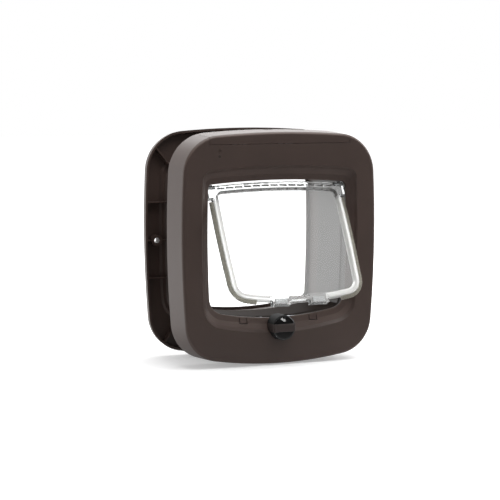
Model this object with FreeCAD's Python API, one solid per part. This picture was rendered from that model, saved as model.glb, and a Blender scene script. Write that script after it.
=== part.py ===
import FreeCAD, Part
import math
import os

# A cat flap with a microchip reader: a deep indoor frame that holds the clear flap, the lock and the
# batteries, and a shallow outdoor frame whose collar slides over the tunnel through the door.
# Millimetres. +X right and +Z up as seen from indoors, +Y out through the door.
# The origin is midway between the two fixing screws, in the plane of the door's indoor face.

V = FreeCAD.Vector
X_AXIS, Y_AXIS, Z_AXIS = V(1, 0, 0), V(0, 1, 0), V(0, 0, 1)

# Frames
SIDE_BAND = 30.5            # face beside the opening, at its widest
SIDE_RADIUS = 1170.0        # the four long edges are gentle arcs
TOP_RADIUS = 900.0
BOTTOM_RADIUS = 434.0
TOP_CORNER = 40.4
BOTTOM_CORNER = 38.2
SIDE_CREST = 18.0           # the sides are widest this far above the middle
SCREW_RISE = 3.5            # the fixing screws' height above the middle
FRONT_DEPTH = 37.2          # front face to the door
DRAFT = 1.6                 # growth of the outline from the face to the door
FACE_EDGE = 3.0             # rounding of the face's outer edge
WALL = 2.2
LEAST_CORNER = 0.6          # of an outline that is moved inwards

# Recess and opening in the face
OPENING_WIDTH = 154.4
OPENING_HEIGHT = 139.9
OPENING_SIDE_RADIUS = 1400.0
OPENING_TOP_RADIUS = 816.0
OPENING_BOTTOM_RADIUS = 316.0
OPENING_TOP_CORNER = 4.0
OPENING_BOTTOM_CORNER = 17.0
RECESS_DEPTH = 7.2
RECESS_SIDE = 9.6           # how far the recess spreads beyond the opening
RECESS_TOP = 14.9
RECESS_BOTTOM = 14.7
RECESS_TOP_CORNER = 11.0
RECESS_BOTTOM_CORNER = 23.0
SCOOP_SINK = 0.4            # the recess wall's back starts inside the face
RIM = 2.0                   # thickness of the opening's rim
RIM_EDGE = 1.2              # rounding of its front edge

# Tunnel and door
TUNNEL_WALL = 2.2
TUNNEL_GAP = 0.3            # tunnel's inside beyond the opening
BAY_STEP = 1.2              # the flap's bay is this much wider than the tunnel
BAY_DEPTH = 12.0
TUNNEL_REACH = 36.0         # tunnel's end beyond the door's indoor face
TUNNEL_CORNER = 5.0
DOOR_GAP = 59.0             # distance between the frames
COLLAR_FIT = 0.4
COLLAR_WALL = 2.0
COLLAR_REACH = 29.0         # collar's length in front of the outdoor frame's edge
REAR_DEPTH = 11.0
REAR_EDGE = 4.0
REAR_GROWTH = 0.2           # outdoor outline beyond the indoor face's
REAR_RECESS_DEPTH = 5.0
ROOT_CHAMFER = 2.2          # where the recess wall meets the plate

# Fixings
SCREW_INSET = 11.2          # from the face's widest part
SCREW_HOLE_R = 2.8
SCREW_PILOT_R = 2.1
FIXING_BOSS_R = 4.6
FIXING_BOSS_LENGTH = 24.0
FIXING_BOSS_FLOOR = 3.0     # solid end of the boss
REAR_BOSS_WALL = 1.0        # outdoor boss, beyond the indoor one
REAR_BOSS_SINK = 0.6        # its end, inside the frame's edge
RIB = 1.2
RIB_PITCH = 39.5
RIB_SINK = 1.2              # ribs' edge, inside the frame's edge
RIB_INSET = 0.8             # ribs' ends, inside the outer wall
CORNER_WEBS = ((1, 51.0), (-1, 56.0))  # up or down, slope in degrees
CORNER_WEB_START = (27.0, 14.0)

# Chassis
PLATE = 2.5
PLATE_SINK = 2.5            # the plate lies this far in front of the door
PLATE_GAP = 0.3
BOSS_GAP = 0.4              # plate to the fixing bosses and their walls
SMALL_SCREW_R = 1.4
SMALL_HEAD_R = 2.9
SMALL_HEAD = 1.8
SMALL_BOSS_R = 3.6
SMALL_SCREW_LENGTH = 12.0
SMALL_SCREW_GAP = 0.1       # in the plate
SMALL_PILOT_SPARE = 2.0     # hole beyond the screw's tip
SMALL_SCREW_DRIVE = (3.2, 0.6, 1.0)    # width, slot, depth
UPPER_SCREW_DROP = 3.5      # below the opening's top
LOWER_SCREW_RISE = 2.5      # above the opening's bottom
SIDE_SCREW_SHIFT = 1.5      # lower side screws, inwards
FOOT_SCREW_X = 34.0
FOOT_SCREW_GAP = 1.65       # post below the latch's bar
FOOT_GAP = 4.4              # post above the frame's foot
ROOT = 0.5                  # depth that joined walls and posts share

# Flap
OPEN_ANGLE = 28.3           # the flap stands this far open, indoors
HINGE_DROP = 7.5            # hinge axis below the opening's top
HINGE_Y = -21.2
FLAP_SIDE_GAP = 5.5         # without the brush
FLAP_TOP_GAP = 2.9
FLAP_FOOT_GAP = 6.0
FLAP_DEPTH = 7.0
FLAP_RIM = 6.2
FLAP_TOP_RIM = 9.0
FLAP_EDGE = 1.4             # rounding of the rim's outer edges
WINDOW_CHAMFER = 2.0
WINDOW_CORNER = 5.0
PANE = 2.2
FLAP_TOP_CORNER = 3.5
FLAP_BOTTOM_CORNER = 16.5
BRUSH_REACH = 3.7
BRUSH_ROOT = 1.4
BRUSH_THICK = 4.2
BRUSH_START = 15.0          # below the hinge axis
BRUSH_END = 46.0            # from the middle, along the foot
EAR_GAP = 3.0               # hinge ear to the bay's side
EAR_DROP = 12.0
EAR_ROOT = 2.0
PIN_R = 2.0
PIN_FIT = 0.05
PIN_ROOT = 9.0              # length of pin held in the flap
BUSH_R = 3.6
BUSH_FIT = 0.02
BEARING_LENGTH = 8.0        # outwards from the opening's side
BEARING_WALL = 2.0
PIN_END_GAP = 2.0
CELL_PITCH = 9.9            # pockets in the back of the top rail
CELL_MARGIN = 7.0           # solid ends of the rail
CELL_WIDTH = 8.0
CELL_HEIGHT = 2.4           # and depth, because the pocket's roof slopes at 45 degrees
CELL_DROP = 1.6             # below the rail's top
BLOCK_INNER = 10.6          # the two blocks at the flap's foot
BLOCK_OUTER = 30.6
BLOCK_HEIGHT = 10.0
BLOCK_DROP = 2.6            # below the flap's foot
MAGNET = (13.0, 4.6, 5.0)   # width, depth, height
KEEPER = (15.0, 5.0, 1.1)
KEEPER_SINK = 0.2           # below the bay's floor
KEEPER_GAP = 0.1
MAGNET_FLOOR = 1.4          # under the magnet, in its block

# Lock
LOCK_DROP = 9.3             # lock axis below the opening's lower edge
KNOB_R = 12.8
KNOB_PROUD = 9.0            # in front of the face
KNOB_HOLE_GAP = 0.4
KNOB_DOME = 2.2
GRIP_HEIGHT = 8.2
GRIP_INSET = 1.3
GRIP_EDGE = 1.0
GRIP_PROUD = 1.6
SPINDLE_R = 6.0
JOURNAL_R = 4.0
JOURNAL_FIT = 0.05
JOURNAL_END = 0.6           # shaft beyond the web
HUB_REACH = 2.0             # shaft in front of the face
HUB_WALL = 1.8
KNOB_WALL = 2.0
KNOB_SKIN = 1.0             # the knob's hollow starts behind the face
LOBE_R = 20.0
LOBE = 2.2
LOBE_GAP = 0.5
LOBE_SLOT = 0.5
WEB = 2.6
WEB_HALF = 12.0

# Latch
LATCH_X = 39.0
TONGUE = (8.0, 2.2)
LATCH_TRAVEL = 10.0
YOKE_BAR = (6.0, 4.0)       # depth, height
SLIDE_GAP = 0.4
YOKE_END = 4.0              # bar beyond the rod's centre
TONGUE_GAP = 0.6            # tongue's top below the bay's floor
SOLENOID_GAP = 1.0          # yoke at the top of its travel
SOLENOID_X = -60.0
ROD_REACH = 5.0             # rod in the solenoid at rest
SOLENOID_STEEL = 1.5
SOLENOID = (18.0, 13.0, 17.0)
ROD_R = 2.0
SNAP_TAB = (9.0, 6.0)       # with the slit round it, in the scoop
SNAP_SLIT = 0.8
SNAP_DROP = 1.4

# Battery compartment
COVER_END = 2.0             # cover beyond the board
COVER_DROP = 11.9           # seam below the face's top
SEAM = 0.3
BACK_RIM = 3.0
FINGER_NOTCH = (14.0, 4.0)
CELL_D = 14.2
CELL_LENGTH = 50.5
CELL_NUB = (1.4, 2.75)      # height, radius
CELL_EDGE = 0.8
CELL_TOP_GAP = 5.0          # top of the cells below the face's top
CELL_GAP = 0.4              # between two cells in a row
TRAY_FLOOR = 1.8            # under the cells
TRAY_LIP = 2.2              # up their sides
TRAY_END = 1.6
TRAY_END_RISE = 12.4
TRAY_GAP = 0.2
COVER_TAB_INSET = 5.0
COVER_TAB = (5.0, 4.0, 1.4)  # width, height above and below the seam, thickness
TAB_GAP = 0.1
TAB_ROOT = 0.4
CONTACT = 0.5
CONTACT_SPACE = 3.4
CONTACT_HALF = 4.0

# Electronics
BOARD = 1.6
BOARD_STANDOFF = 1.6
PEG_X, PEG_DROP, PEG_R = 40.0, 26.6, 1.8
CHIP = (10.0, 5.0, 1.8)     # width, height, thickness
CHIPS_X = (-30.0, 8.0, 45.0)
CHIP_DROP = 2.0
BOARD_HEIGHT = 8.6
BOARD_END = 20.3            # board beyond the tray
BOARD_GAP = 1.85            # board above the recess wall
BOARD_SIDE_RISE = 7.5
LENS_END, LENS_DROP, LENS_R = 11.6, 23.6, 1.4    # beyond the tray, below the top, radius
LENS_FIT = 0.05
BUTTON_DROP, BUTTON_R, BUTTON_TRAVEL = 18.1, 1.2, 0.5
BUTTON_FIT = 0.25
BUTTON_FLANGE = 1.2         # behind the face
BUTTON_SINK = 0.3           # the button's tip, inside the face
BUTTON_REST = 0.1           # flange to the face's back
BUTTON_SPARE = 0.2          # left when it is pressed
COIL = (1.4, 3.0)           # build-up, width
COIL_GAP = 0.3              # round the tunnel
COIL_SINK = 0.2             # in front of the plate

# Derived places
FACE_Y = -FRONT_DEPTH
MID_Z = -SCREW_RISE
TOP_BAND = CELL_TOP_GAP + CELL_D + TRAY_FLOOR + BOARD_HEIGHT + BOARD_GAP + WALL + RECESS_TOP
BOTTOM_BAND = LOCK_DROP + LOBE_R + YOKE_BAR[1] + FOOT_SCREW_GAP + 2 * SMALL_BOSS_R + FOOT_GAP
FACE_WIDTH = OPENING_WIDTH + 2 * SIDE_BAND
FACE_HEIGHT = OPENING_HEIGHT + TOP_BAND + BOTTOM_BAND
FACE_TOP = MID_Z + FACE_HEIGHT / 2
FACE_BOTTOM = MID_Z - FACE_HEIGHT / 2
OPENING_HALF = OPENING_WIDTH / 2
OPENING_TOP = FACE_TOP - TOP_BAND
OPENING_BOTTOM = FACE_BOTTOM + BOTTOM_BAND
RIM_Y = FACE_Y + RECESS_DEPTH            # front of the opening's rim
RIM_BACK = RIM_Y + RIM
PLATE_BACK = -PLATE_SINK
PLATE_FRONT = PLATE_BACK - PLATE
HINGE_Z = OPENING_TOP - HINGE_DROP
LOCK_Z = OPENING_BOTTOM - LOCK_DROP
SCREW_X = FACE_WIDTH / 2 - SCREW_INSET
BAY_Y = RIM_BACK + SEAM                  # front of the tunnel moulding
COLLAR_INSIDE = TUNNEL_GAP + TUNNEL_WALL + COLLAR_FIT
REAR_Y = DOOR_GAP                        # outdoor frame's edge on the door
REAR_FACE = REAR_Y + REAR_DEPTH
FRONT_LOBE_Y = HINGE_Y - FLAP_DEPTH / 2 - LOBE_GAP - LOBE
REAR_LOBE_Y = HINGE_Y + FLAP_DEPTH / 2 + LOBE_GAP
YOKE_Z = LOCK_Z - LOBE_R - YOKE_BAR[1]
FLAP_HALF = OPENING_HALF - FLAP_SIDE_GAP
FLAP_TOP = HINGE_DROP - FLAP_TOP_GAP     # above the hinge axis
FLAP_BOTTOM = HINGE_Z - OPENING_BOTTOM - FLAP_FOOT_GAP
EAR_REACH = FLAP_SIDE_GAP + TUNNEL_GAP + BAY_STEP - EAR_GAP
CELL_Z = FACE_TOP - CELL_TOP_GAP - CELL_D / 2
TRAY_HALF = CELL_LENGTH + CELL_GAP / 2 + CONTACT_SPACE
BOARD_HALF = TRAY_HALF + TRAY_END + BOARD_END
COVER_HALF = BOARD_HALF + COVER_END
LENS_X = -(TRAY_HALF + TRAY_END + LENS_END)
OVER = 1.0                               # cutters run this far past what they cut
SMALL_SCREWS = [(sx * x, z) for sx in (-1, 1)
                for x, z in ((SCREW_X, OPENING_TOP - UPPER_SCREW_DROP),
                             (SCREW_X - SIDE_SCREW_SHIFT, OPENING_BOTTOM + LOWER_SCREW_RISE),
                             (FOOT_SCREW_X, YOKE_Z - FOOT_SCREW_GAP - SMALL_BOSS_R))]

FRAME = dict(half=FACE_WIDTH / 2, top=FACE_TOP, bottom=FACE_BOTTOM, side_r=SIDE_RADIUS,
             top_r=TOP_RADIUS, bottom_r=BOTTOM_RADIUS, top_corner=TOP_CORNER,
             bottom_corner=BOTTOM_CORNER, crest=MID_Z + SIDE_CREST)
OPENING = dict(half=OPENING_HALF, top=OPENING_TOP, bottom=OPENING_BOTTOM,
               side_r=OPENING_SIDE_RADIUS, top_r=OPENING_TOP_RADIUS,
               bottom_r=OPENING_BOTTOM_RADIUS, top_corner=OPENING_TOP_CORNER,
               bottom_corner=OPENING_BOTTOM_CORNER, crest=MID_Z + SIDE_CREST)
RECESS = dict(OPENING, half=OPENING_HALF + RECESS_SIDE, top=OPENING_TOP + RECESS_TOP,
              bottom=OPENING_BOTTOM - RECESS_BOTTOM, top_corner=RECESS_TOP_CORNER,
              bottom_corner=RECESS_BOTTOM_CORNER)
TUNNEL = dict(OPENING, top_corner=TUNNEL_CORNER, bottom_corner=TUNNEL_CORNER)
FLAP = dict(half=FLAP_HALF, top=FLAP_TOP, bottom=-FLAP_BOTTOM, side_r=OPENING_SIDE_RADIUS,
            top_r=OPENING_TOP_RADIUS, bottom_r=OPENING_BOTTOM_RADIUS, top_corner=FLAP_TOP_CORNER,
            bottom_corner=FLAP_BOTTOM_CORNER, crest=MID_Z + SIDE_CREST - HINGE_Z)


# Outlines

def tangent_centre(a, ra, b, rb, sx, sz):
    """Centre of a corner arc: ra from centre a and rb from centre b, on the side (sx, sz)."""
    dx, dz = b[0] - a[0], b[1] - a[1]
    span = math.hypot(dx, dz)
    along = (ra * ra - rb * rb + span * span) / (2 * span)
    across = math.sqrt(ra * ra - along * along)
    px, pz = a[0] + dx * along / span, a[1] + dz * along / span
    nx, nz = -dz / span * across, dx / span * across
    ends = [(px + nx, pz + nz), (px - nx, pz - nz)]
    return max(ends, key=lambda p: p[0] * sx + p[1] * sz)


def away(centre, target, radius):
    """The point of a circle that lies straight away from another circle's centre."""
    dx, dz = centre[0] - target[0], centre[1] - target[1]
    length = math.hypot(dx, dz)
    return centre[0] + dx * radius / length, centre[1] + dz * radius / length


def corner_arc(o, grow, sx, sz):
    """Side tangent point, middle and top or bottom tangent point of one rounded corner."""
    radius = max((o["top_corner"] if sz > 0 else o["bottom_corner"]) + grow, LEAST_CORNER)
    long_r = o["top_r"] if sz > 0 else o["bottom_r"]
    edge = o["top"] if sz > 0 else o["bottom"]
    side = (sx * (o["half"] - o["side_r"]), o["crest"])
    end = (0.0, edge - sz * long_r)
    c = tangent_centre(side, o["side_r"] + grow - radius, end, long_r + grow - radius, sx, sz)
    p, q = away(c, side, radius), away(c, end, radius)
    middle = away(c, (2 * c[0] - (p[0] + q[0]) / 2, 2 * c[1] - (p[1] + q[1]) / 2), radius)
    return p, middle, q


def outline(o, y, grow=0.0):
    """Closed wire of eight tangent arcs in the plane at y, moved outwards by grow."""
    def arc(*points):
        return Part.Arc(*[V(p[0], y, p[1]) for p in points]).toShape()
    corners = {(sx, sz): corner_arc(o, grow, sx, sz) for sx in (-1, 1) for sz in (-1, 1)}
    side = o["half"] + grow
    top, bottom = (0.0, o["top"] + grow), (0.0, o["bottom"] - grow)
    rt, lt, lb, rb = corners[1, 1], corners[-1, 1], corners[-1, -1], corners[1, -1]
    edges = [arc(rb[0], (side, o["crest"]), rt[0]), arc(*rt),
             arc(rt[2], top, lt[2]), arc(*lt[::-1]),
             arc(lt[0], (-side, o["crest"]), lb[0]), arc(*lb),
             arc(lb[2], bottom, rb[2]), arc(*rb[::-1])]
    return Part.Wire(edges)


def prism(o, y0, y1, grow=0.0):
    return Part.Face(outline(o, y0, grow)).extrude(V(0, y1 - y0, 0))


def taper(o, y0, grow0, y1, grow1):
    return Part.makeLoft([outline(o, y0, grow0), outline(o, y1, grow1)], True, True)


def between(a, b, share):
    """Outline a share of the way from a to b."""
    return {key: a[key] + (b[key] - a[key]) * share for key in a}


def scoop(y_face, y_rim, grow, inner=OPENING):
    """Concave recess from the face to the opening's rim, moved outwards by grow."""
    steps = [(0.0, 0.0), (0.45, 0.2), (0.8, 0.58), (1.0, 1.0)]
    wires = [outline(between(RECESS, inner, inward), y_face + (y_rim - y_face) * deep, grow)
             for deep, inward in steps]
    return Part.makeLoft(wires, True, True)


# Simple solids

def box(x0, x1, y0, y1, z0, z1):
    return Part.makeBox(x1 - x0, y1 - y0, z1 - z0, V(x0, y0, z0))


def rod_y(x, z, y0, y1, radius):
    return Part.makeCylinder(radius, y1 - y0, V(x, y0, z), Y_AXIS)


def rod_x(x0, x1, y, z, radius):
    return Part.makeCylinder(radius, x1 - x0, V(x0, y, z), X_AXIS)


def rod_z(x, y, z0, z1, radius):
    return Part.makeCylinder(radius, z1 - z0, V(x, y, z0), Z_AXIS)


def fuse(*shapes):
    return shapes[0].fuse(list(shapes[1:])).removeSplitter()


def edges_at(shape, y):
    """Edges that lie in the plane at y."""
    return [e for e in shape.Edges if abs(e.BoundBox.YMin - y) < 1e-4 and abs(e.BoundBox.YMax - y) < 1e-4]


def floor_z(x, grow=TUNNEL_GAP):
    """Height of the tunnel's floor at x."""
    return OPENING_BOTTOM - grow + OPENING_BOTTOM_RADIUS - math.sqrt(OPENING_BOTTOM_RADIUS ** 2 - x * x)


def side_x(z, grow):
    """Half width of the tunnel's side at height z."""
    rise = z - OPENING["crest"]
    return OPENING_HALF + grow - OPENING_SIDE_RADIUS + math.sqrt(OPENING_SIDE_RADIUS ** 2 - rise * rise)


def mirrored(shape, sx):
    return shape if sx > 0 else shape.mirror(V(0, 0, 0), X_AXIS)


def opened(shape):
    """A flap piece, modelled hanging from the hinge axis, set on its hinge and opened."""
    shape.translate(V(0, HINGE_Y, HINGE_Z))
    shape.rotate(V(0, HINGE_Y, HINGE_Z), X_AXIS, -OPEN_ANGLE)
    return shape


# Indoor frame

def frame_shell():
    body = taper(FRAME, FACE_Y, 0.0, 0.0, DRAFT)
    body = body.makeFillet(FACE_EDGE, edges_at(body, FACE_Y))
    inner_draft = DRAFT * WALL / FRONT_DEPTH
    return body.cut(taper(FRAME, FACE_Y + WALL, inner_draft - WALL, OVER, DRAFT - WALL))


def cover_zone(shrink, back):
    seam_z = FACE_TOP - COVER_DROP
    return box(-COVER_HALF + shrink, COVER_HALF - shrink, FACE_Y - OVER, back,
               seam_z + shrink, FACE_TOP + 5 * OVER)


def front_frame():
    shell = frame_shell().cut(cover_zone(0.0, -BACK_RIM))
    dish = scoop(FACE_Y + SCOOP_SINK, RIM_BACK, WALL)
    bosses = [rod_y(sx * SCREW_X, 0, -FIXING_BOSS_LENGTH, 0, FIXING_BOSS_R) for sx in (-1, 1)]
    walls = [box(min(sx * SCREW_X, sx * (FRAME["half"] - WALL / 2)),
                 max(sx * SCREW_X, sx * (FRAME["half"] - WALL / 2)),
                 -FIXING_BOSS_LENGTH, -OVER, -RIB, RIB) for sx in (-1, 1)]
    posts = [rod_y(x, z, FACE_Y + WALL - ROOT, PLATE_FRONT, SMALL_BOSS_R) for x, z in SMALL_SCREWS]
    pegs = [rod_y(x, FACE_TOP - PEG_DROP, FACE_Y + WALL - ROOT, FACE_Y + WALL + BOARD_STANDOFF, PEG_R)
            for x in (-PEG_X, PEG_X)]
    body = fuse(shell, dish, *bosses, *walls, *posts, *pegs)
    body = body.cut(scoop(FACE_Y, RIM_Y, 0.0))
    body = body.cut([prism(RECESS, FACE_Y - OVER, FACE_Y), prism(OPENING, RIM_Y, RIM_BACK + OVER)])
    body = body.makeFillet(min(RIM_EDGE, 0.6 * RIM), edges_at(body, RIM_Y))
    pilot_y = FIXING_BOSS_FLOOR - FIXING_BOSS_LENGTH
    holes = [rod_y(sx * SCREW_X, 0, pilot_y, OVER, SCREW_PILOT_R) for sx in (-1, 1)]
    holes += [rod_y(x, z, PLATE_FRONT - SMALL_SCREW_LENGTH, PLATE_FRONT + OVER, SMALL_SCREW_R)
              for x, z in SMALL_SCREWS]
    holes.append(rod_y(0, LOCK_Z, FACE_Y - OVER, RIM_BACK + OVER, KNOB_R + KNOB_HOLE_GAP))
    holes.append(rod_y(LENS_X, FACE_TOP - LENS_DROP, FACE_Y - OVER, FACE_Y + WALL + OVER, LENS_R + LENS_FIT))
    holes.append(rod_y(LENS_X, FACE_TOP - BUTTON_DROP, FACE_Y - OVER, FACE_Y + WALL + OVER,
                       BUTTON_R + BUTTON_FIT))
    holes += [snap_slit(sx * LATCH_X) for sx in (-1, 1)]
    return body.cut(holes)


def snap_slit(x):
    """Slit round three sides of a tab in the scoop, which bends when the chassis is pushed in."""
    half, z = SNAP_TAB[0] / 2, floor_z(LATCH_X, 0.0) - SNAP_DROP
    hole = box(x - half, x + half, FACE_Y - OVER, RIM_BACK - RIM / 2, z - SNAP_TAB[1], z)
    return hole.cut(box(x - half + SNAP_SLIT, x + half - SNAP_SLIT, FACE_Y - 2 * OVER, RIM_BACK,
                        z - SNAP_TAB[1] + SNAP_SLIT, z + OVER))


def battery_cover():
    cap = frame_shell().common(cover_zone(SEAM, -BACK_RIM - SEAM))
    width, depth = FINGER_NOTCH
    seam_z, back = FACE_TOP - COVER_DROP, FACE_Y + WALL
    notch = rod_z(0, -BACK_RIM - SEAM + width / 2 - depth, seam_z, FACE_TOP + DRAFT + OVER, width / 2)
    half, rise, thick = COVER_TAB[0] / 2, COVER_TAB[1], COVER_TAB[2]
    tabs = []
    for x in (COVER_TAB_INSET - COVER_HALF, COVER_HALF - COVER_TAB_INSET):
        tabs.append(box(x - half, x + half, back + TAB_GAP, back + TAB_GAP + thick,
                        seam_z - rise, seam_z + rise))
        tabs.append(box(x - half, x + half, back - TAB_ROOT, back + TAB_GAP + thick,
                        seam_z + SEAM + TAB_GAP, seam_z + rise))
    return fuse(cap, *tabs).cut(notch)


# Chassis with the front half of the tunnel

def inner_chassis():
    plate = prism(FRAME, PLATE_FRONT, PLATE_BACK, -WALL - PLATE_GAP)
    bay = TUNNEL_GAP + BAY_STEP
    tube = prism(TUNNEL, BAY_Y, TUNNEL_REACH, TUNNEL_GAP + TUNNEL_WALL)
    mouth = prism(TUNNEL, BAY_Y, BAY_Y + BAY_DEPTH + TUNNEL_WALL, bay + TUNNEL_WALL)
    bearings = [mirrored(rod_x(OPENING_HALF, OPENING_HALF + BEARING_LENGTH, HINGE_Y, HINGE_Z,
                               BUSH_R + BEARING_WALL), sx) for sx in (-1, 1)]
    web_y = REAR_LOBE_Y + LOBE + LOBE_GAP
    web = fuse(box(-WEB_HALF, WEB_HALF, web_y, web_y + WEB, LOCK_Z, floor_z(0) - ROOT),
               rod_y(0, LOCK_Z, web_y, web_y + WEB, WEB_HALF))
    body = fuse(plate, tube, mouth, *bearings, web)
    inside = [prism(TUNNEL, BAY_Y - OVER, TUNNEL_REACH + OVER, TUNNEL_GAP),
              prism(TUNNEL, BAY_Y - OVER, BAY_Y + BAY_DEPTH - BAY_STEP, bay),
              taper(TUNNEL, BAY_Y + BAY_DEPTH - BAY_STEP, bay, BAY_Y + BAY_DEPTH, TUNNEL_GAP)]
    body = body.cut(inside)
    reach = OPENING_HALF + BEARING_LENGTH + OVER
    holes = [rod_x(-reach, reach, HINGE_Y, HINGE_Z, BUSH_R)]
    holes += [rod_y(sx * SCREW_X, 0, PLATE_FRONT - OVER, PLATE_BACK + OVER, FIXING_BOSS_R + BOSS_GAP)
              for sx in (-1, 1)]
    holes += [box(min(sx * SCREW_X, sx * FACE_WIDTH), max(sx * SCREW_X, sx * FACE_WIDTH),
                  PLATE_FRONT - OVER, PLATE_BACK + OVER, -RIB - BOSS_GAP, RIB + BOSS_GAP) for sx in (-1, 1)]
    holes += [rod_y(x, z, PLATE_FRONT - OVER, PLATE_BACK + OVER, SMALL_SCREW_R + SMALL_SCREW_GAP)
              for x, z in SMALL_SCREWS]
    for y in (FRONT_LOBE_Y, REAR_LOBE_Y):
        holes.append(rod_y(0, LOCK_Z, y - LOBE_SLOT, y + LOBE + LOBE_SLOT, LOBE_R + LOBE_SLOT))
    holes.append(rod_y(0, LOCK_Z, FRONT_LOBE_Y, REAR_LOBE_Y, SPINDLE_R + LOBE_SLOT))
    holes.append(rod_y(0, LOCK_Z, web_y - OVER, web_y + WEB + OVER, JOURNAL_R + JOURNAL_FIT))
    for sx in (-1, 1):
        holes.append(box(sx * LATCH_X - TONGUE[0] / 2 - SLIDE_GAP, sx * LATCH_X + TONGUE[0] / 2 + SLIDE_GAP,
                         BAY_Y - OVER, FRONT_LOBE_Y + TONGUE[1] + SLIDE_GAP,
                         floor_z(0) - 2 * TUNNEL_WALL - BAY_STEP, floor_z(LATCH_X) + 2 * OVER))
        holes.append(keeper_block(sx, 0.0, 2 * BAY_STEP + OVER))
    return body.cut(holes)


def keeper_block(sx, gap, rise=0.0):
    x = sx * (BLOCK_INNER + BLOCK_OUTER) / 2
    width, depth, thick = KEEPER
    bottom = floor_z(0) - BAY_STEP - KEEPER_SINK
    return box(x - width / 2 + gap, x + width / 2 - gap, HINGE_Y - depth / 2 + gap,
               HINGE_Y + depth / 2 - gap, bottom, bottom + thick + rise)


def keeper_plates():
    return Part.makeCompound([keeper_block(sx, KEEPER_GAP) for sx in (-1, 1)])


def chassis_screws():
    screws = []
    for x, z in SMALL_SCREWS:
        tip = PLATE_FRONT - SMALL_SCREW_LENGTH + SMALL_PILOT_SPARE
        shank = rod_y(x, z, tip, PLATE_BACK, SMALL_SCREW_R)
        head = rod_y(x, z, PLATE_BACK, PLATE_BACK + SMALL_HEAD, SMALL_HEAD_R)
        width, slot, depth = SMALL_SCREW_DRIVE
        y0, y1 = PLATE_BACK + SMALL_HEAD - depth, PLATE_BACK + SMALL_HEAD + OVER
        drive = fuse(box(x - width / 2, x + width / 2, y0, y1, z - slot / 2, z + slot / 2),
                     box(x - slot / 2, x + slot / 2, y0, y1, z - width / 2, z + width / 2))
        screws.append(fuse(shank, head).cut(drive))
    return Part.makeCompound(screws)


def hinge_bush(sx):
    inner, outer = side_x(HINGE_Z, TUNNEL_GAP + BAY_STEP), OPENING_HALF + BEARING_LENGTH
    body = rod_x(inner, outer, HINGE_Y, HINGE_Z, BUSH_R - BUSH_FIT)
    return mirrored(body.cut(rod_x(inner - OVER, outer + OVER, HINGE_Y, HINGE_Z, PIN_R + PIN_FIT)), sx)


# Flap, modelled hanging from the hinge axis at the origin

def flap_rim_cut():
    """The window inside the flap's rim, below its deeper top rail."""
    window = dict(FLAP, half=FLAP_HALF - FLAP_RIM, top=FLAP_TOP - FLAP_TOP_RIM,
                  bottom=-FLAP_BOTTOM + FLAP_RIM, top_corner=WINDOW_CORNER,
                  bottom_corner=FLAP_BOTTOM_CORNER - FLAP_RIM)
    half, edge = FLAP_DEPTH / 2, WINDOW_CHAMFER
    cuts = []
    for sy in (-1, 1):
        cuts.append(prism(window, sy * PANE / 2, sy * (half + OVER)))
        cuts.append(taper(window, sy * (half - edge), 0.0, sy * (half + OVER), edge + OVER))
    return cuts


def brush_zone(grow, thick):
    """Band of the brush along one side, round the corner and along the foot."""
    band = prism(FLAP, -thick / 2, thick / 2, grow).cut(prism(FLAP, -thick, thick, -BRUSH_ROOT))
    past = grow + OVER
    keep = box(BRUSH_END, FLAP_HALF + past, -thick, thick, -FLAP_BOTTOM - past, -BRUSH_START)
    return band.common(keep)


def rail_pocket(x, crown):
    """Wedge cut into the back of the top rail, which saves plastic and leaves the front whole."""
    back, top = FLAP_DEPTH / 2, crown - CELL_DROP
    foot, start = top - CELL_HEIGHT, x - CELL_WIDTH / 2
    corners = [V(start, back - CELL_HEIGHT, foot), V(start, back + OVER, foot), V(start, back + OVER, top + OVER)]
    return Part.Face(Part.makePolygon(corners + corners[:1])).extrude(V(CELL_WIDTH, 0, 0))


def flap_pane():
    half = FLAP_DEPTH / 2
    body = prism(FLAP, -half, half)
    body = body.makeFillet(FLAP_EDGE, edges_at(body, -half) + edges_at(body, half)).cut(flap_rim_cut())
    for sx in (-1, 1):
        x0, x1 = FLAP_HALF - EAR_ROOT, FLAP_HALF + EAR_REACH
        ear = fuse(box(x0, x1, -half, half, -EAR_DROP, 0), rod_x(x0, x1, 0, 0, half))
        block = box(BLOCK_INNER, BLOCK_OUTER, -half, half, -FLAP_BOTTOM - BLOCK_DROP,
                    -FLAP_BOTTOM - BLOCK_DROP + BLOCK_HEIGHT)
        body = fuse(body, mirrored(ear, sx), mirrored(block, sx))
    cuts = []
    cells = int(2 * (FLAP_HALF - CELL_MARGIN) / CELL_PITCH)
    for i in range(cells):
        x = (i - (cells - 1) / 2) * CELL_PITCH
        crown = FLAP_TOP - (OPENING_TOP_RADIUS - math.sqrt(OPENING_TOP_RADIUS ** 2 - x * x))
        cuts.append(rail_pocket(x, crown))
    for sx in (-1, 1):
        cuts.append(mirrored(brush_zone(OVER, BRUSH_THICK), sx))
        pin = rod_x(FLAP_HALF + EAR_REACH - PIN_ROOT, FLAP_HALF + EAR_REACH + OVER, 0, 0, PIN_R)
        cuts.append(mirrored(pin, sx))
        cuts.append(magnet_block(sx))
    return opened(body.cut(cuts))


def magnet_block(sx):
    x = sx * (BLOCK_INNER + BLOCK_OUTER) / 2
    width, depth, height = MAGNET
    z = -FLAP_BOTTOM - BLOCK_DROP + MAGNET_FLOOR
    return box(x - width / 2, x + width / 2, -depth / 2, depth / 2, z, z + height)


def flap_magnet(sx):
    return opened(magnet_block(sx))


def flap_brush(sx):
    return opened(mirrored(brush_zone(BRUSH_REACH, BRUSH_THICK), sx))


def hinge_pin(sx):
    x0 = FLAP_HALF + EAR_REACH - PIN_ROOT
    x1 = OPENING_HALF + BEARING_LENGTH - PIN_END_GAP
    return opened(mirrored(rod_x(x0, x1, 0, 0, PIN_R), sx))


# Four-way lock

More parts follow.
